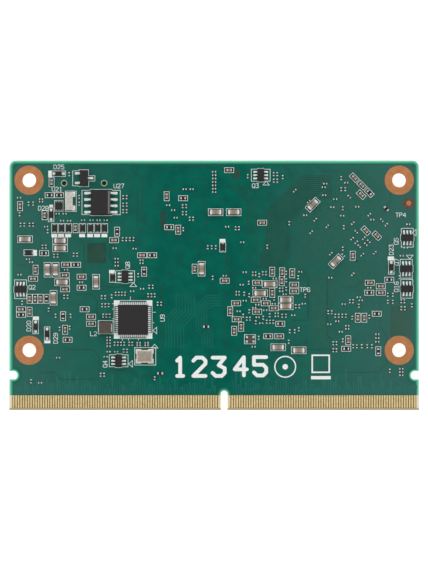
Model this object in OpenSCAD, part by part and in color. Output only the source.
// System on module: a card-edge computer board with parts soldered on both sides.
// Millimetres. X runs along the card edge, Y runs from it to the far edge and Z points up.
// The board lies on its primary side, on the processor die and the power inductors, and its
// secondary side with the small parts faces up. The origin is on the surface it lies on.

/* [Board] */
// Length of the board along its card edge
board_w = 82; // [80:1:92]
// Depth of the board from the card edge to the far edge
board_d = 50; // [48:1:60]
// Thickness of the board
board_t = 1.2; // [1:0.1:1.6]
// Radius of the two far corners
corner_r = 1.3; // [0.5:0.1:2]
// Height of the tallest parts on the primary side
stand_h = 2; // [1.8:0.1:3]
// Width of the notch in each side
notch_w = 1.6; // [1:0.1:2]
// Depth of the notch in each side
notch_depth = 1.65; // [1:0.05:2]
// Middle of the side notches above the card edge
notch_y = 7; // [6:0.5:8]

/* [Card edge] */
// Spacing of the contacts
contact_pitch = 0.5; // [0.45:0.05:0.8]
// Width of a contact
contact_w = 0.35; // [0.25:0.05:0.4]
// Upper end of the contacts above the card edge
contact_top = 3; // [2.5:0.1:3.4]
// Thickness of the plating of a contact
contact_t = 0.05; // [0.03:0.01:0.08]
// Height of the bevel along the card edge
bevel_h = 0.45; // [0.3:0.05:0.8]
// Depth of the bevel on each face
bevel_depth = 0.2; // [0.1:0.05:0.3]
// Distance of the key slot to the right of the middle of the board
key_offset = 2; // [0:0.5:4]
// Width of the key slot
key_w = 1.25; // [1:0.05:1.6]
// Upper end of the key slot above the card edge
key_top = 3.85; // [3.5:0.05:4.5]
// Distance from a side of the key slot to the middle of the first contact
key_margin = 0.475; // [0.4:0.025:0.8]
// Least distance from an end of the board to the middle of the last contact
end_margin = 0.9; // [0.8:0.05:1.5]

/* [Mounting holes] */
// Bore of a plated mounting hole
hole_d = 2.8; // [2.2:0.1:3.2]
// Diameter of the copper pad round a mounting hole
pad_d = 5.8; // [5:0.1:6.2]
// Thickness of the plating in a mounting hole and on its pads
plating_t = 0.05; // [0.03:0.01:0.08]
// Distance from the sides and the far edge to the middle of a mounting hole
hole_inset = 4; // [3.8:0.1:4.5]
// Distance between the two rows of mounting holes, which grows with the depth of the board
hole_row_gap = 34; // [32:0.5:36]

/* [Chip parts] */
// Length of a micro chip part
micro_l = 0.6; // [0.5:0.05:0.7]
// Width and height of a micro chip part
micro_w = 0.3; // [0.2:0.05:0.35]
// Length of a small chip part
small_l = 1; // [0.8:0.05:1.2]
// Width of a small chip part
small_w = 0.52; // [0.4:0.02:0.6]
// Height of a small capacitor
small_capacitor_h = 0.5; // [0.3:0.05:0.6]
// Height of a small resistor
small_resistor_h = 0.35; // [0.25:0.05:0.5]
// Length of a large capacitor
large_l = 2.1; // [1.6:0.05:2.3]
// Width of a large capacitor
large_w = 0.95; // [0.8:0.05:1]
// Height of a large capacitor
large_h = 0.8; // [0.6:0.05:1]
// Share of a chip part's length that each of its end terminals takes
terminal_share = 0.22; // [0.18:0.02:0.3]
// Share of a large capacitor's length that each of its end terminals takes
large_terminal_share = 0.14; // [0.1:0.02:0.2]

/* [Leaded packages] */
// Width of the flash memory body between its two rows of leads
flash_w = 3.9; // [3.6:0.1:4.2]
// Length of the flash memory body along its rows of leads
flash_l = 4.9; // [4.8:0.1:5.3]
// Height of the flash memory body
flash_h = 1.5; // [1.2:0.1:1.75]
// Spacing of the flash memory leads
flash_pitch = 1.27; // [1:0.01:1.3]
// Width of a transistor body between its two rows of leads
transistor_w = 1.35; // [1.15:0.05:1.45]
// Length of a transistor body along its rows of leads
transistor_l = 2.15; // [1.9:0.05:2.3]
// Height of a transistor body
transistor_h = 0.95; // [0.8:0.05:1.1]
// Spacing of the transistor leads
transistor_pitch = 0.65; // [0.5:0.05:0.7]
// Width of the regulator body between its leads
regulator_w = 1.6; // [1.2:0.1:1.8]
// Length of the regulator body along its leads
regulator_l = 3.1; // [2.8:0.1:3.2]
// Height of the regulator body
regulator_h = 1.1; // [0.9:0.1:1.3]
// Spacing of the two leads on one side of the regulator
regulator_pitch = 1.9; // [1.6:0.1:2.1]
// Length of a power diode body
diode_l = 1.3; // [1.1:0.1:1.6]
// Width of a power diode body
diode_w = 0.85; // [0.7:0.05:1]
// Height of a power diode body
diode_h = 0.8; // [0.7:0.05:1]
// Length of a signal diode body
small_diode_l = 1.3; // [1.1:0.05:1.4]
// Width of a signal diode body
small_diode_w = 0.85; // [0.7:0.05:0.9]
// Height of a signal diode body
small_diode_h = 0.5; // [0.4:0.05:0.7]

/* [Leadless packages] */
// Side of the square controller body
controller_s = 6; // [5:0.5:6.5]
// Height of the controller body
controller_h = 0.85; // [0.7:0.05:1]
// Spacing of the controller terminals
controller_pitch = 0.4; // [0.4:0.05:0.5]
// Length of the oscillator base
oscillator_l = 3.2; // [2.9:0.1:3.4]
// Width of the oscillator base
oscillator_w = 2.5; // [2.2:0.1:2.7]
// Height of the oscillator with its lid
oscillator_h = 0.75; // [0.6:0.05:0.9]
// Length of the clock crystal
clock_l = 3.6; // [3:0.1:3.8]
// Width of the clock crystal
clock_w = 1.9; // [1.6:0.1:2]
// Height of the clock crystal
clock_h = 0.9; // [0.7:0.05:1]
// Length of the choke between its terminals
choke_l = 2.6; // [2.2:0.1:2.8]
// Width of the choke
choke_w = 2.3; // [2:0.05:2.6]
// Height of the choke
choke_h = 1.2; // [0.9:0.1:1.4]
// Width of the load switch along its terminals
switch_w = 1.35; // [1.3:0.05:1.6]
// Length of the load switch between its rows of terminals
switch_l = 1.55; // [1.1:0.05:1.7]
// Height of the load switch
switch_h = 0.6; // [0.5:0.05:0.8]
// Length of the bead array between its terminals
bead_l = 1.5; // [1.3:0.1:1.8]
// Width of the bead array
bead_w = 1.3; // [1.1:0.1:1.5]
// Height of the bead array
bead_h = 0.5; // [0.4:0.05:0.7]

/* [Primary side] */
// Length of the processor substrate
processor_w = 31; // [28:1:34]
// Depth of the processor substrate
processor_d = 24; // [21:1:26]
// Thickness of the processor substrate
processor_t = 0.8; // [0.6:0.05:0.9]
// Length of the processor die
die_w = 13; // [10:0.5:15]
// Depth of the processor die
die_d = 9.5; // [8:0.5:12]
// Height of the solder balls
ball_h = 0.35; // [0.25:0.05:0.45]
// Width of a memory package
memory_w = 9; // [8:0.5:10]
// Depth of a memory package
memory_d = 10.5; // [9.5:0.5:12]
// Thickness of a memory or storage package
package_t = 0.85; // [0.7:0.05:1]
// Length of the storage package
storage_w = 13; // [12:0.5:14]
// Depth of the storage package
storage_d = 11.5; // [10.5:0.5:13]
// Side of the square power manager body
power_manager_s = 8; // [7:0.5:9]
// Side of a square network chip body
network_chip_s = 7; // [6:0.5:8]
// Side of a square power inductor core
inductor_s = 4; // [3.4:0.1:4.6]
// Length of a bulk capacitor
bulk_l = 3.5; // [3.2:0.1:3.8]
// Width of a bulk capacitor
bulk_w = 2.8; // [2.4:0.1:3.2]
// Height of a bulk capacitor
bulk_h = 1.7; // [1.4:0.1:1.8]
// Free strip between neighbouring packages
package_gap = 1.5; // [1:0.1:2]
// Length of the debug header
header_l = 12.4; // [11.4:0.1:13]
// Width of the debug header
header_w = 3; // [2.6:0.1:3.4]
// Height of the debug header
header_h = 1.6; // [1.4:0.1:1.75]
// Distance between the two locating pegs of the debug header
peg_spacing = 8; // [7:0.5:9]
// Diameter of a locating peg
peg_d = 0.8; // [0.6:0.05:0.9]
// Clearance between a locating peg and its hole
peg_clearance = 0.05; // [0.02:0.01:0.1]

/* [Hidden] */
$fn = 48;

// Colours
laminate_green = "#006253";
copper = "#B87750";
contact_gold = "#C9A961";
tin = "#D8D8D4";
mould_black = "#2B2627";
ceramic_tan = "#A8957F";
ceramic_pink = "#B98F86";
ferrite_grey = "#5B4C48";
lid_beige = "#B8A898";
alumina_cream = "#EDE5DA";
silicon_grey = "#6F7478";

// Heights of the two faces of the board
under_z = stand_h;
top_z = stand_h + board_t;

// The layout grid: the columns and rows that the places below are counted on
layout_w = 82;
layout_d = 50;
// Slack that keeps a rounding error from losing the last step of a row
count_slack = 0.001;
// How far a cut runs past the face that it starts from
overcut = 1;
// Thickness of the plated end caps round the body of a chip part
cap_wrap = 0.02;
// Gap that solder and lands leave under a moulded body
seat_h = 0.08;
// How far the top and bottom of a moulded body draw in
mould_draft = 0.08;

// Foot of the upright sides of a moulded core, and the share of its height that they take
core_band_z = 0.12;
core_band_share = 0.75;
// End plate of a core: thickness, and its shares of the core's width, height and length
plate_t = 0.1;
plate_w_share = 0.7;
plate_h_share = 0.5;
plate_tuck_share = 0.2;

// Lead of a moulded package: thickness, reach beyond the body, foot and width
fine_lead = [0.12, 0.6, 0.3, 0.3];
coarse_lead = [0.2, 1.05, 0.6, 0.42];
regulator_lead = [0.2, 0.85, 0.45, 0.42];
diode_lead = [0.12, 0.4, 0.25, 0.45];
small_diode_lead = [0.1, 0.16, 0.1, 0.4];
// Terminal of a leadless package: length under the body, reach beyond it, wetted height and width
fine_toe = [0.4, 0.35, 0.25, 0.22];
switch_toe = [0.25, 0.12, 0.2, 0.28];
toe_edge_t = 0.03;

// Places on the secondary side, read on the layout grid from the lower left corner.
// A place is [x, y], and a run of equal parts is [x, y, count, x step, y step].
// Each group has the turn of its parts in degrees and then their places.
controller_place = [24.8, 18.1];
flash_place = [18.35, 41.5];
regulator_place = [15, 46.4];
oscillator_place = [27.1, 10.8];
clock_place = [12.25, 41.8];
choke_place = [19.2, 16.5];
switch_place = [9.95, 40.85];
bead_place = [48.2, 14.2];
header_place = [15, 45.4];

transistor_groups = [
    [0, [[23.2, 26.7], [21.9, 9.9], [50.3, 47]]],
    [90, [[2.3, 24.2], [79.6, 34.5], [79.4, 28.3], [79.5, 24.3]]]
];
diode_groups = [
    [0, [[9.9, 47.3]]],
    [-90, [[8.4, 39.1], [5.3, 16.7], [76.4, 28.6]]],
    [90, [[7.6, 15.3]]]
];
small_diode_groups = [
    [90, [[9.1, 36.4, 3, 1.4, 0], [14.7, 36.4], [16.3, 36.4, 3, 1.4, 0]]],
    [180, [[3.9, 31.5]]],
    [-90, [[20.7, 26.5], [42.7, 32.6]]]
];
large_capacitor_groups = [
    [0, [[3.2, 34.2], [10.2, 32.4, 2, 0, 1.5], [10.6, 25.6], [41.3, 39.6, 2, 3.6, 0], [52.1, 25.2],
        [50.2, 23.4], [55.3, 20.8, 2, 0, 1.3], [53.8, 12.6], [57.9, 12]]],
    [90, [[7.7, 28.1, 2, 1.6, 0], [17.4, 25.7], [8.9, 22.5], [38.5, 28.3]]],
    [45, [[60.7, 41.1], [65.3, 29.8]]]
];
capacitor_groups = [
    [0, [[4.8, 26.3], [11.4, 29.1], [11.1, 27], [11.2, 24.2], [2.4, 20.2], [16.4, 17.3, 2, 0, 1.4],
        [44, 48], [50.6, 37.5], [49.6, 25.5], [57, 23.8, 2, 0, 1.3], [49.3, 22.1], [51.3, 21.4],
        [45.4, 21.4], [52.9, 20.4], [49.6, 19.7], [45.5, 18.2], [54, 14.8], [72.1, 25.5],
        [74.3, 23.5, 2, 0, 1.3]]],
    [90, [[8.5, 45.6], [7.1, 39], [2.2, 40.8], [13.3, 36.4], [5.3, 28.1], [4.1, 22.3, 3, 1.1, 0],
        [4.1, 19.7], [11.2, 16.1], [31.5, 42.8], [33.8, 36.1], [37.1, 28.3], [52.6, 27.7],
        [54.6, 27.6], [56.6, 27.4], [54.5, 25.8], [52.6, 23.5], [44.2, 19.8], [46.4, 16.7], [45, 15.9],
        [69.7, 18.5, 2, 1.3, 0], [67.8, 14]]],
    [-45, [[69, 46.5, 2, 1.5, -1.5], [70.4, 43.1], [71.3, 35.9, 2, 2.2, -1]]]
];
precision_capacitor_groups = [
    [0, [[14.5, 26.7], [21, 34], [26.6, 31], [43.1, 25.9]]],
    [90, [[68.7, 30.9]]]
];
resistor_groups = [
    [0, [[8.1, 43, 2, 1.9, 0], [7, 31.4], [13.4, 29.1], [14.5, 24.5], [2.4, 19.1], [15.1, 20.2],
        [11.7, 14.1], [28.6, 31], [34.8, 42.4], [32, 36.6], [51.8, 14.8], [54.2, 17.3], [72, 23.5],
        [76, 26.1], [73.5, 19.3], [67.4, 12.3], [39.4, 16.7], [30.2, 7.4]]],
    [90, [[7.5, 22.3], [10.8, 18.8], [21.6, 35.7], [27, 27.7], [73.8, 11.8]]],
    [-45, [[72, 43.5], [75.4, 40.3]]]
];
micro_chip_groups = [
    [0, [[2, 42.5], [6.4, 41.7, 2, 0, 0.5], [7.4, 36.7], [10.6, 37.9, 2, 1.4, 0], [14.8, 38],
        [16.5, 38, 3, 1.4, 0], [9.7, 39.3, 2, 1.4, 0], [2.1, 27.1], [3.8, 30.2], [4.4, 29.6],
        [11.4, 28.1], [14.4, 25.6], [21.1, 32.4], [21.5, 28.9, 3, 0, 0.7], [19.9, 12.8, 4, 0, 0.6],
        [19.9, 11.7, 2, 1.5, 0], [19.3, 10.7], [6.2, 5.5], [9.8, 10.5], [35.1, 44.2, 2, 1.4, 0],
        [31.8, 41], [32.8, 40], [33.3, 38.5], [41, 43.6, 7, 0, 0.68], [25.1, 32.3],
        [26.5, 29.4, 2, 0, 0.6], [26.6, 24.3], [24.6, 23.8], [25.9, 13, 2, 1.6, 0],
        [25.9, 13.5, 2, 1.6, 0], [43.6, 36.7], [46.6, 33.6], [43.1, 26.9], [47.1, 27.6],
        [49, 27, 2, 0, 0.6], [53.1, 26.3], [58.2, 27.7], [46.5, 25.1], [49, 24.5],
        [54.4, 23.8, 2, 0, 0.6], [45.7, 23.1, 2, 0, 0.6], [55.1, 23.2], [47.1, 21.9], [51.1, 22.3],
        [52.9, 21.3], [49.6, 21.1], [58.9, 21.3], [49, 20.5], [51.2, 20], [45.9, 19.8],
        [53.5, 18.8, 2, 0, 0.6], [56.8, 19], [49.7, 18.6], [50.4, 17.4], [48.9, 12.7], [59.2, 39],
        [63.2, 45.3], [62.9, 44.6], [63, 43], [67.4, 45.5], [65.2, 42.2], [64.6, 40.6], [69.6, 40.7],
        [66.6, 38.9], [72.6, 38.1], [79.8, 37.2], [64.2, 26.5], [72, 24.5], [69.9, 22.6], [70.3, 22],
        [66.9, 21.2], [78.5, 30.9], [79.3, 32.5], [65.6, 17.8], [64, 17.2], [67.6, 16.3, 2, 0, 0.6],
        [66.3, 15.7], [73.6, 13.7, 3, 0, 0.75], [78.4, 7, 3, 0, 0.65]]],
    [90, [[12, 47.2], [3.9, 41.3, 2, 0.9, 0], [2.3, 37.1, 2, 0.75, 0], [4.1, 37.1, 2, 0.7, 0],
        [7.7, 35.8], [14, 41.3, 2, 0, 1.35], [2.1, 39.2], [6.7, 32.7, 2, 0.65, 0], [9, 30.9, 2, 0.7, 0],
        [12.9, 31.1, 2, 0.7, 0], [11, 22.7, 2, 0.7, 0], [18.5, 22.6, 2, 0.7, 0],
        [18.6, 21, 3, 0.65, 0], [18.8, 18.9, 3, 0.65, 0], [2.6, 21.5], [7.9, 20.1], [9.3, 18.9],
        [12.3, 18.9], [10.1, 16.3], [12.1, 16.5], [18.3, 7.1, 2, 0.7, 0], [4.4, 5.8],
        [22.8, 39.8, 2, 0.7, 0], [22.8, 41.1, 2, 0.7, 0], [22.8, 42.6, 2, 0.7, 0],
        [34.7, 40.8, 2, 0.7, 0], [34.7, 39.4, 2, 0.7, 0], [36.1, 38.3, 2, 0.7, 0], [34.8, 36.2],
        [22.7, 34.2, 4, 0.72, 0], [25.8, 27], [28, 24.7, 2, 0.7, 0], [27.8, 23, 3, 0.65, 0],
        [29.7, 21.3, 2, 0.7, 0], [21.3, 23.3, 4, 0.63, 0], [20.5, 22.8], [40.7, 26.5],
        [39.7, 32.6, 3, 0.8, 0], [21.1, 13.3, 4, 0.64, 0], [24, 13.3, 2, 0.6, 0],
        [22.9, 11.9, 2, 0.7, 0], [29.1, 6.4], [47.7, 46.8], [52.9, 47.2, 2, 0.7, 0],
        [52.9, 45.9, 2, 0.7, 0], [54.7, 46.6], [45.3, 36.4, 2, 0.65, 0], [56, 37.4], [51.6, 32.7],
        [50.7, 27.4, 2, 0.65, 0], [50, 27], [55.4, 26, 2, 0, 1.5], [57.8, 26.6], [47.9, 25.5],
        [55.4, 24.3], [47, 23.3], [48, 23], [59.2, 22.9], [53, 22.3],
        [57.3, 20.8, 2, 0.7, 0], [48, 19.8], [47.5, 18.3, 2, 0.65, 0], [46.8, 18.9], [50.8, 18.5],
        [49.3, 17.6], [51.5, 17.7, 3, 0.65, 0], [54.6, 18.9, 2, 0.75, 0], [52.1, 19], [49.9, 14.5],
        [55.9, 13.7], [56.1, 15.8, 2, 1, 0], [57.9, 16.2], [66.4, 46.4], [66.4, 44.2, 2, 0.8, 0],
        [66.7, 40.4], [66.9, 36.6], [66.7, 32.3], [68.1, 21.8, 2, 0.65, 0], [69.9, 20.9],
        [63.8, 19.6, 2, 0.7, 0], [65.2, 18.9, 4, 0.7, 0], [78, 26.6], [75.7, 23.1, 2, 1, 0],
        [75.7, 21.7, 2, 1, 0], [78.4, 21.8, 2, 0.6, 0], [78.4, 20.4, 2, 0.7, 0], [80.5, 21],
        [68.6, 18.5], [72, 18.7], [64.8, 12, 2, 0.65, 0], [64.8, 13.4, 2, 0.65, 0], [66.7, 14],
        [68.8, 12.8], [69.5, 12.8], [70.5, 12.8], [71.6, 12.8, 2, 0.9, 0], [76.1, 7.9]]],
    [45, [[57.1, 43.9], [59.9, 41.7], [61.2, 38.1], [60.4, 35.6], [63.6, 36.8], [68.7, 37.4], [72, 39.1],
        [75.4, 37.1], [64.3, 31.3], [68.6, 34.3], [69.4, 33.6], [70.9, 34.4], [73.1, 31.5],
        [68.7, 27.2], [70.6, 31.1]]],
    [-45, [[68, 42.7], [74.5, 38], [69.4, 35.7], [66.8, 31], [70, 32.8], [71.3, 33.2], [71.9, 33.8]]]
];

// Turns a place on the layout grid into a point on the board
function at(place) = [
    (place[0] / layout_w - 1 / 2) * board_w,
    (place[1] / layout_d - 1 / 2) * board_d
];
// Spreads runs of equal parts into single places
function spread(runs) = [
    for (run = runs)
        for (i = [0 : (len(run) > 2 ? run[2] : 1) - 1])
            len(run) > 2 ? [run[0] + i * run[3], run[1] + i * run[4]] : run
];
// Number of steps that fit in a length
function steps(length, pitch) = floor((length + count_slack) / pitch);

// Card edge, key slot and mounting holes
edge_y = -board_d / 2;
contact_low = bevel_h + contact_t;
key_r = key_w / 2;
hole_r = hole_d / 2;
hole_x = board_w / 2 - hole_inset;
hole_far_y = board_d / 2 - hole_inset;
hole_near_y = hole_far_y - hole_row_gap * board_d / layout_d;
hole_points = [
    for (x = [-hole_x, hole_x])
        for (y = [hole_near_y, hole_far_y])
            [x, y]
];
// The fiducial keeps its place below the far right mounting hole
fiducial_r = 0.5;
fiducial_offset = 1.9;
fiducial_gap = 1.2;
fiducial_point = [hole_x + fiducial_offset, hole_far_y - pad_d / 2 - fiducial_gap - fiducial_r];

// Locating pegs and their holes
header_point = at(header_place);
peg_points = [for (side = [-1, 1]) header_point + [side * peg_spacing / 2, 0]];
peg_r = peg_d / 2;
peg_hole_r = peg_r + peg_clearance;
peg_l = board_t * 3 / 4;
peg_ring_w = 0.2;

// Primary side: packages are set beside each other, starting from the processor
processor_gap = 8;
processor_offset = 11;
processor_place = [processor_offset, edge_y + processor_gap + processor_d / 2];
die_h = stand_h - ball_h - processor_t;
processor_pitch = 1;
package_pitch = 0.8;
ball_margin = 0.75;
ball_r = 0.22;
memory_count = 4;
memory_gap = 2;
memory_offset = 7;
memory_step = memory_w + memory_gap;
memory_y = processor_place[1] + processor_d / 2 + package_gap + memory_d / 2;
memory_points = [
    for (i = [0 : memory_count - 1])
        [memory_offset + (i - (memory_count - 1) / 2) * memory_step, memory_y]
];
storage_point = [
    processor_place[0] - processor_w / 2 - package_gap - storage_w / 2,
    processor_place[1]
];
power_manager_point = [
    storage_point[0] - storage_w / 2 - package_gap - power_manager_s / 2,
    processor_place[1]
];
leadless_h = 0.85;
leadless_pitch = 0.5;
inductor_core_l = inductor_s - 2 * plate_t;
inductor_step = inductor_s + package_gap;
left_inductor_x = power_manager_point[0] - power_manager_s / 2 - package_gap - inductor_s / 2;
right_inductor_x = processor_place[0] + processor_w / 2 + package_gap + inductor_s / 2;
inductor_points = concat(
    [for (i = [0 : 2]) [left_inductor_x, processor_place[1] + (i - 1 / 2) * inductor_step]],
    [for (i = [0 : 1]) [right_inductor_x, processor_place[1] + (i - 1 / 2) * inductor_step]]
);
network_chip_y = processor_place[1] - max(storage_d, power_manager_s) / 2
    - package_gap - network_chip_s / 2;
network_chip_gap = 4;
network_chip_points = [
    for (i = [0 : 1])
        [power_manager_point[0] + i * (network_chip_s + network_chip_gap), network_chip_y]
];
bulk_count = 4;
bulk_core_l = bulk_l - 2 * plate_t;
bulk_step = bulk_w + package_gap;
bulk_y = memory_y - memory_d / 2 - package_gap - bulk_l / 2;
bulk_points = [for (i = [0 : bulk_count - 1]) [power_manager_point[0] + i * bulk_step, bulk_y]];
primary_capacitor_count = 12;
primary_capacitor_step = 2.4;
primary_capacitor_points = [
    for (i = [0 : primary_capacitor_count - 1])
        [processor_place[0] + (i - (primary_capacitor_count - 1) / 2) * primary_capacitor_step,
            processor_place[1] - processor_d / 2 - package_gap / 2 - small_l / 2]
];
header_slot = [0.6, 1.1];
pin_count = 10;
pin_size = [0.2, 0.9, 0.15];

// Placing

// Stands parts on the secondary side at each place of each group
module placed(groups) {
    for (group = groups)
        for (place = spread(group[1]))
            translate([at(place)[0], at(place)[1], top_z]) rotate(group[0]) children();
}

// Stands one part on the secondary side
module on_top(place) {
    translate([at(place)[0], at(place)[1], top_z]) children();
}

// Hangs parts under the primary side
module under(points) {
    for (point = points)
        translate([point[0], point[1], under_z]) mirror([0, 0, 1]) children();
}

// Shared shapes

module block(size, z = 0) {
    translate([-size[0] / 2, -size[1] / 2, z]) cube(size);
}

// Ceramic between the end caps of a chip part
module chip_core(length, width, height, share = terminal_share) {
    cap = length * share;
    block([length - 2 * cap, width - 2 * cap_wrap, height - 2 * cap_wrap], cap_wrap);
}

// Plated end caps of a chip part
module chip_ends(length, width, height, share = terminal_share) {
    cap = length * share;
    for (side = [-1, 1])
        translate([side * (length - cap) / 2, 0, 0]) block([cap, width, height]);
}

// Section of a moulded body, upright where the leads leave it and drawn in above and below
module moulded_section(width, height, band_z, band_t, draft) {
    polygon([
        [-width / 2 + draft, seat_h], [width / 2 - draft, seat_h],
        [width / 2, band_z], [width / 2, band_z + band_t],
        [width / 2 - draft, height], [-width / 2 + draft, height],
        [-width / 2, band_z + band_t], [-width / 2, band_z]
    ]);
}

// Moulded body: X runs between its rows of leads and Y along them
module moulded_body(width, length, height, band_z, band_t, draft = mould_draft) {
    intersection() {
        rotate([90, 0, 0])
            linear_extrude(length, center = true)
                moulded_section(width, height, band_z, band_t, draft);
        rotate([90, 0, 90])
            linear_extrude(width, center = true)
                moulded_section(length, height, band_z, band_t, draft);
    }
}

// Bent lead from the side of a moulded body down to its foot on the board
module bent_lead(body_half, band_z, lead) {
    thick = lead[0];
    toe = body_half + lead[1];
    heel = toe - lead[2];
    shoulder = (body_half + heel) / 2;
    rotate([90, 0, 0])
        linear_extrude(lead[3], center = true)
            polygon([
                [body_half, band_z], [body_half, band_z + thick],
                [shoulder + thick / 2, band_z + thick], [heel + thick / 2, thick],
                [toe, thick], [toe, 0], [heel, 0], [shoulder, band_z]
            ]);
}

// Row of bent leads along the +X side of a body
module lead_row(count, pitch, body_half, band_z, lead) {
    for (i = [0 : count - 1])
        translate([0, (i - (count - 1) / 2) * pitch, 0]) bent_lead(body_half, band_z, lead);
}

// Soldered terminal at the foot of a leadless body, on its +X side
module soldered_toe(body_half, toe) {
    rotate([90, 0, 0])
        linear_extrude(toe[3], center = true)
            polygon([
                [body_half - toe[0], 0], [body_half + toe[1], 0], [body_half + toe[1], toe_edge_t],
                [body_half, toe[2]], [body_half, seat_h], [body_half - toe[0], seat_h]
            ]);
}

// Rows of soldered terminals on the sides of a leadless body that the turns give
module toe_rows(body_half, count, pitch, toe, turns) {
    for (turn = turns)
        rotate(turn)
            for (i = [0 : count - 1])
                translate([0, (i - (count - 1) / 2) * pitch, 0]) soldered_toe(body_half, toe);
}

// Square leadless body that stands on its terminals
module leadless_body(side, height) {
    block([side, side, height - seat_h], seat_h);
}

// Terminals on all four sides of a square leadless body
module leadless_terminals(side, pitch) {
    count = steps(side - 3 * pitch, pitch) + 1;
    toe_rows(side / 2, count, pitch, fine_toe, [0, 90, 180, 270]);
}

// Outer row of a grid of solder balls, which is all that shows beside a package
module ball_row(width, depth, pitch) {
    columns = steps(width - 2 * ball_margin, pitch) + 1;
    rows = steps(depth - 2 * ball_margin, pitch) + 1;
    for (i = [0 : columns - 1])
        for (j = [0 : rows - 1])
            if (i == 0 || j == 0 || i == columns - 1 || j == rows - 1)
                translate([(i - (columns - 1) / 2) * pitch, (j - (rows - 1) / 2) * pitch, 0])
                    cylinder(r = ball_r, h = ball_h, $fn = 8);
}

// Moulded core with a bent plate at each end: X runs between the plates
module plated_core(length, width, height, draft) {
    moulded_body(length, width, height, core_band_z, height * core_band_share, draft);
}

// Bent end plates of a core, each tucked under it
module end_plates(length, width, height) {
    half = length / 2;
    rise = height * plate_h_share;
    inner = half - length * plate_tuck_share;
    for (turn = [0, 180])
        rotate([90, 0, turn])
            linear_extrude(width * plate_w_share, center = true)
                polygon([
                    [inner, 0], [half + plate_t, 0], [half + plate_t, rise],
                    [half, rise], [half, seat_h], [inner, seat_h]
                ]);
}

// Board

module board_outline() {
    translate([-board_w / 2, edge_y]) square([board_w, board_d - corner_r]);
    translate([corner_r - board_w / 2, board_d / 2 - corner_r])
        square([board_w - 2 * corner_r, corner_r]);
    for (side = [-1, 1])
        translate([side * (board_w / 2 - corner_r), board_d / 2 - corner_r]) circle(corner_r);
}

module key_slot() {
    translate([key_offset - key_r, edge_y - overcut]) square([key_w, key_top - key_r + overcut]);
    translate([key_offset, edge_y + key_top - key_r]) circle(key_r);
}

// Notch in the right side, with a round inner end
module side_notch() {
    notch_r = notch_w / 2;
    inner_x = board_w / 2 - notch_depth + notch_r;
    translate([inner_x, edge_y + notch_y - notch_r])
        square([board_w / 2 - inner_x + overcut, notch_w]);
    translate([inner_x, edge_y + notch_y]) circle(notch_r);
}

// Wedge that bevels the card edge below the underside of the board
module edge_bevel() {
    translate([0, edge_y, under_z])
        rotate([90, 0, 90])
            linear_extrude(board_w + 2 * overcut, center = true)
                polygon([
                    [-overcut, -overcut], [bevel_h, -overcut], [bevel_h, 0], [0, bevel_depth],
                    [-overcut, bevel_depth]
                ]);
}

module board() {
    color(laminate_green)
        difference() {
            translate([0, 0, under_z])
                linear_extrude(board_t)
                    difference() {
                        board_outline();
                        key_slot();
                        side_notch();
                        mirror([1, 0]) side_notch();
                        for (point = hole_points) translate(point) circle(hole_r + plating_t);
                        for (point = peg_points) translate(point) circle(peg_hole_r);
                    }
            edge_bevel();
            translate([0, 0, under_z + top_z]) mirror([0, 0, 1]) edge_bevel();
        }
}

// Plated barrel with a pad on each face
module mounting_hole_plating() {
    outer = hole_r + plating_t;
    pad_r = pad_d / 2;
    color(copper)
        for (point = hole_points)
            translate([point[0], point[1], 0])
                rotate_extrude()
                    polygon([
                        [hole_r, under_z - plating_t], [pad_r, under_z - plating_t],
                        [pad_r, under_z], [outer, under_z], [outer, top_z], [pad_r, top_z],
                        [pad_r, top_z + plating_t], [hole_r, top_z + plating_t]
                    ]);
}

// Row of contacts outward from one side of the key slot
module contact_row(side, first, z) {
    run = board_w / 2 - side * key_offset - key_r - first - end_margin;
    for (i = [0 : steps(run, contact_pitch)])
        translate([key_offset + side * (key_r + first + i * contact_pitch), edge_y + contact_low, z])
            translate([-contact_w / 2, 0, 0])
                cube([contact_w, contact_top - contact_low, contact_t]);
}

module secondary_edge_contacts() {
    color(contact_gold)
        for (side = [-1, 1]) contact_row(side, key_margin, top_z);
}

// The contacts of the primary side stand half a pitch further from the key slot
module primary_edge_contacts() {
    color(contact_gold)
        for (side = [-1, 1]) contact_row(side, key_margin + contact_pitch / 2, under_z - contact_t);
}

module fiducial_pad() {
    color(copper)
        translate([fiducial_point[0], fiducial_point[1], top_z]) cylinder(r = fiducial_r, h = plating_t);
}

module peg_hole_rings() {
    color(copper)
        for (point = peg_points)
            translate([point[0], point[1], top_z])
                difference() {
                    cylinder(r = peg_hole_r + peg_ring_w, h = plating_t);
                    translate([0, 0, -overcut]) cylinder(r = peg_hole_r, h = plating_t + 2 * overcut);
                }
}

// Secondary side: single packages

module controller_body() {
    color(mould_black) on_top(controller_place) leadless_body(controller_s, controller_h);
}

module controller_terminals() {
    color(tin)
        on_top(controller_place)
            leadless_terminals(controller_s, controller_pitch);
}

flash_side_leads = 4;
flash_band_z = flash_h / 2 - coarse_lead[0] / 2;

module flash_body() {
    color(mould_black)
        on_top(flash_place)
            moulded_body(flash_w, flash_l, flash_h, flash_band_z, coarse_lead[0], 2 * mould_draft);
}

module flash_leads() {
    color(tin)
        on_top(flash_place)
            for (turn = [0, 180])
                rotate(turn) lead_row(flash_side_leads, flash_pitch, flash_w / 2, flash_band_z, coarse_lead);
}

transistor_side_leads = 3;
transistor_band_z = transistor_h / 2 - fine_lead[0] / 2;

module dual_transistor_bodies() {
    color(mould_black)
        placed(transistor_groups)
            moulded_body(transistor_w, transistor_l, transistor_h, transistor_band_z, fine_lead[0]);
}

module dual_transistor_leads() {
    color(tin)
        placed(transistor_groups)
            for (turn = [0, 180])
                rotate(turn)
                    lead_row(
                        transistor_side_leads, transistor_pitch, transistor_w / 2,
                        transistor_band_z, fine_lead
                    );
}

regulator_band_z = regulator_h / 2 - regulator_lead[0] / 2;

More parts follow.
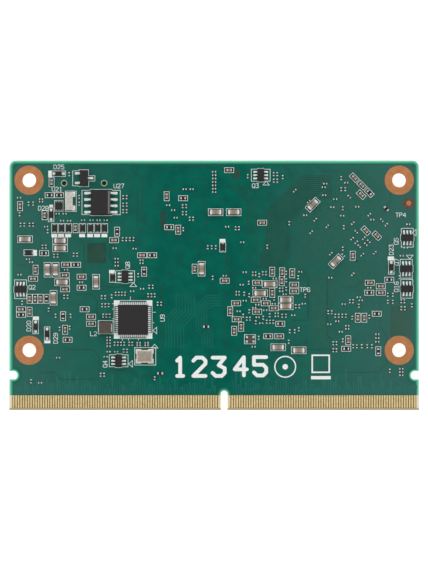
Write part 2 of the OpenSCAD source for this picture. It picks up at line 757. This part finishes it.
module regulator_body() {
    color(mould_black)
        on_top(regulator_place)
            moulded_body(regulator_w, regulator_l, regulator_h, regulator_band_z, regulator_lead[0]);
}

module regulator_leads() {
    color(tin)
        on_top(regulator_place) {
            lead_row(1, regulator_pitch, regulator_w / 2, regulator_band_z, regulator_lead);
            rotate(180)
                lead_row(2, regulator_pitch, regulator_w / 2, regulator_band_z, regulator_lead);
        }
}

// Ceramic oscillator: a base with quarter-round corners, a metal lid and four lands

oscillator_lid_t = 0.12;
oscillator_rim = 0.2;
oscillator_corner_r = 0.3;
oscillator_land = [1.1, 0.95];
oscillator_land_reach = 0.2;

module oscillator_base() {
    color(alumina_cream)
        on_top(oscillator_place)
            translate([0, 0, seat_h])
                linear_extrude(oscillator_h - oscillator_lid_t - seat_h)
                    difference() {
                        square([oscillator_l, oscillator_w], center = true);
                        for (x = [-1, 1])
                            for (y = [-1, 1])
                                translate([x * oscillator_l / 2, y * oscillator_w / 2])
                                    circle(oscillator_corner_r);
                    }
}

module oscillator_lid() {
    color(lid_beige)
        on_top(oscillator_place)
            block(
                [oscillator_l - 2 * oscillator_rim, oscillator_w - 2 * oscillator_rim, oscillator_lid_t],
                oscillator_h - oscillator_lid_t
            );
}

module oscillator_pads() {
    color(alumina_cream)
        on_top(oscillator_place)
            for (x = [-1, 1])
                for (y = [-1, 1])
                    translate([
                        x * (oscillator_l / 2 + oscillator_land_reach - oscillator_land[0] / 2),
                        y * (oscillator_w / 2 + oscillator_land_reach - oscillator_land[1] / 2),
                        0
                    ])
                        block([oscillator_land[0], oscillator_land[1], seat_h]);
}

// Clock crystal: a metal case on a ceramic tray, with two pads that reach out at the right corners

clock_base_h = clock_h / 2;
clock_base_share = 0.76;
clock_case_share = 0.68;
clock_pad = [0.75, 0.95];

module clock_crystal_base() {
    base_w = clock_w * clock_base_share;
    color(alumina_cream)
        on_top(clock_place)
            translate([(base_w - clock_w) / 2, 0, 0])
                block([base_w, clock_l, clock_base_h - seat_h], seat_h);
}

module clock_crystal_lid() {
    case_w = clock_w * clock_case_share;
    color(lid_beige)
        on_top(clock_place)
            translate([(case_w - clock_w) / 2 + cap_wrap, 0, 0])
                block([case_w, clock_l - 2 * cap_wrap, clock_h - clock_base_h], clock_base_h);
}

module clock_crystal_pads() {
    color(tin)
        on_top(clock_place)
            for (side = [-1, 1])
                translate([clock_w / 2 - clock_pad[0] / 2 + cap_wrap, side * (clock_l - clock_pad[1]) / 2, 0])
                    block([clock_pad[0], clock_pad[1], seat_h]);
}

// The choke hugs the controller, so it keeps its distance from that package
choke_point = concat(at(controller_place) + choke_place - controller_place, [top_z]);
choke_core_l = choke_l - 2 * plate_t;

module choke_core() {
    color(ferrite_grey)
        translate(choke_point) plated_core(choke_core_l, choke_w, choke_h, mould_draft);
}

module choke_terminals() {
    color(tin)
        translate(choke_point) end_plates(choke_core_l, choke_w, choke_h);
}

switch_side_terminals = 3;
switch_pitch = 0.5;

module load_switch_body() {
    color(mould_black)
        on_top(switch_place) block([switch_w, switch_l, switch_h - seat_h], seat_h);
}

module load_switch_terminals() {
    color(tin)
        on_top(switch_place)
            toe_rows(switch_l / 2, switch_side_terminals, switch_pitch, switch_toe, [90, 270]);
}

bead_cap = [0.3, 0.45];

module bead_array_body() {
    color(ceramic_pink)
        on_top(bead_place)
            block([bead_l - 2 * bead_cap[0], bead_w, bead_h - 2 * cap_wrap], cap_wrap);
}

module bead_array_terminals() {
    color(tin)
        on_top(bead_place)
            for (x = [-1, 1])
                for (y = [-1, 1])
                    translate([x * (bead_l - bead_cap[0]) / 2, y * (bead_w - bead_cap[1]) / 2, 0])
                        block([bead_cap[0], bead_cap[1], bead_h]);
}

// Secondary side: parts that repeat

diode_band_z = diode_h / 2 - diode_lead[0] / 2;
small_diode_band_z = small_diode_h / 2 - small_diode_lead[0] / 2;

module diode_bodies() {
    color(mould_black)
        placed(diode_groups) moulded_body(diode_l, diode_w, diode_h, diode_band_z, diode_lead[0]);
}

module diode_leads() {
    color(tin)
        placed(diode_groups)
            for (turn = [0, 180]) rotate(turn) bent_lead(diode_l / 2, diode_band_z, diode_lead);
}

module small_diode_bodies() {
    color(mould_black)
        placed(small_diode_groups)
            moulded_body(
                small_diode_l, small_diode_w, small_diode_h, small_diode_band_z, small_diode_lead[0]
            );
}

module small_diode_leads() {
    color(tin)
        placed(small_diode_groups)
            for (turn = [0, 180])
                rotate(turn) bent_lead(small_diode_l / 2, small_diode_band_z, small_diode_lead);
}

module large_capacitor_bodies() {
    color(ceramic_tan) placed(large_capacitor_groups)
        chip_core(large_l, large_w, large_h, large_terminal_share);
}

module large_capacitor_terminals() {
    color(tin) placed(large_capacitor_groups)
        chip_ends(large_l, large_w, large_h, large_terminal_share);
}

module capacitor_bodies() {
    color(ceramic_tan) placed(capacitor_groups) chip_core(small_l, small_w, small_capacitor_h);
}

module precision_capacitor_bodies() {
    color(ceramic_pink)
        placed(precision_capacitor_groups) chip_core(small_l, small_w, small_capacitor_h);
}

module resistor_bodies() {
    color(mould_black) placed(resistor_groups) chip_core(small_l, small_w, small_resistor_h);
}

module chip_terminals() {
    color(tin) {
        placed(capacitor_groups) chip_ends(small_l, small_w, small_capacitor_h);
        placed(precision_capacitor_groups) chip_ends(small_l, small_w, small_capacitor_h);
        placed(resistor_groups) chip_ends(small_l, small_w, small_resistor_h);
    }
}

module micro_chip_bodies() {
    color(ceramic_tan) placed(micro_chip_groups) chip_core(micro_l, micro_w, micro_w);
}

module micro_chip_terminals() {
    color(tin) placed(micro_chip_groups) chip_ends(micro_l, micro_w, micro_w);
}

// Primary side

module processor_substrate() {
    color(laminate_green)
        under([processor_place]) block([processor_w, processor_d, processor_t], ball_h);
}

module processor_die() {
    color(silicon_grey)
        under([processor_place]) block([die_w, die_d, die_h], ball_h + processor_t);
}

module processor_solder_balls() {
    color(tin) under([processor_place]) ball_row(processor_w, processor_d, processor_pitch);
}

module memory_packages() {
    color(mould_black) under(memory_points) block([memory_w, memory_d, package_t], ball_h);
}

module memory_solder_balls() {
    color(tin) under(memory_points) ball_row(memory_w, memory_d, package_pitch);
}

module storage_package() {
    color(mould_black) under([storage_point]) block([storage_w, storage_d, package_t], ball_h);
}

module storage_solder_balls() {
    color(tin) under([storage_point]) ball_row(storage_w, storage_d, package_pitch);
}

module power_manager_body() {
    color(mould_black) under([power_manager_point]) leadless_body(power_manager_s, leadless_h);
}

module power_manager_terminals() {
    color(tin) under([power_manager_point]) leadless_terminals(power_manager_s, leadless_pitch);
}

module power_inductor_cores() {
    color(ferrite_grey)
        under(inductor_points) plated_core(inductor_core_l, inductor_s, stand_h, 2 * mould_draft);
}

module power_inductor_terminals() {
    color(tin)
        under(inductor_points) end_plates(inductor_core_l, inductor_s, stand_h);
}

module network_chip_bodies() {
    color(mould_black) under(network_chip_points) leadless_body(network_chip_s, leadless_h);
}

module network_chip_terminals() {
    color(tin) under(network_chip_points) leadless_terminals(network_chip_s, leadless_pitch);
}

module bulk_capacitor_bodies() {
    color(mould_black)
        under(bulk_points) rotate(90) plated_core(bulk_core_l, bulk_w, bulk_h, 2 * mould_draft);
}

module bulk_capacitor_terminals() {
    color(tin)
        under(bulk_points) rotate(90) end_plates(bulk_core_l, bulk_w, bulk_h);
}

// Debug header: a housing with a cable slot and two pegs that locate it in the board
module debug_header_housing() {
    color(mould_black)
        under([header_point]) {
            difference() {
                block([header_l, header_w, header_h]);
                translate([0, 0, header_h - header_slot[1]])
                    block([header_l - 2 * header_slot[1], header_slot[0], header_slot[1] + overcut]);
            }
            for (side = [-1, 1])
                translate([side * peg_spacing / 2, 0, -peg_l]) cylinder(r = peg_r, h = peg_l + seat_h);
        }
}

module debug_header_pins() {
    pitch = contact_pitch * 2;
    color(tin)
        under([header_point])
            for (i = [0 : pin_count - 1])
                translate([(i - (pin_count - 1) / 2) * pitch, -(header_w + pin_size[1]) / 2, 0])
                    block(pin_size);
}

module primary_capacitor_bodies() {
    color(ceramic_tan)
        under(primary_capacitor_points)
            rotate(90) chip_core(small_l, small_w, small_capacitor_h);
}

module primary_capacitor_terminals() {
    color(tin)
        under(primary_capacitor_points)
            rotate(90) chip_ends(small_l, small_w, small_capacitor_h);
}

board();
mounting_hole_plating();
secondary_edge_contacts();
primary_edge_contacts();
fiducial_pad();
peg_hole_rings();
controller_body();
controller_terminals();
flash_body();
flash_leads();
dual_transistor_bodies();
dual_transistor_leads();
regulator_body();
regulator_leads();
oscillator_base();
oscillator_lid();
oscillator_pads();
clock_crystal_base();
clock_crystal_lid();
clock_crystal_pads();
choke_core();
choke_terminals();
load_switch_body();
load_switch_terminals();
bead_array_body();
bead_array_terminals();
diode_bodies();
diode_leads();
small_diode_bodies();
small_diode_leads();
large_capacitor_bodies();
large_capacitor_terminals();
capacitor_bodies();
precision_capacitor_bodies();
resistor_bodies();
chip_terminals();
micro_chip_bodies();
micro_chip_terminals();
processor_substrate();
processor_die();
processor_solder_balls();
memory_packages();
memory_solder_balls();
storage_package();
storage_solder_balls();
power_manager_body();
power_manager_terminals();
power_inductor_cores();
power_inductor_terminals();
network_chip_bodies();
network_chip_terminals();
bulk_capacitor_bodies();
bulk_capacitor_terminals();
debug_header_housing();
debug_header_pins();
primary_capacitor_bodies();
primary_capacitor_terminals();
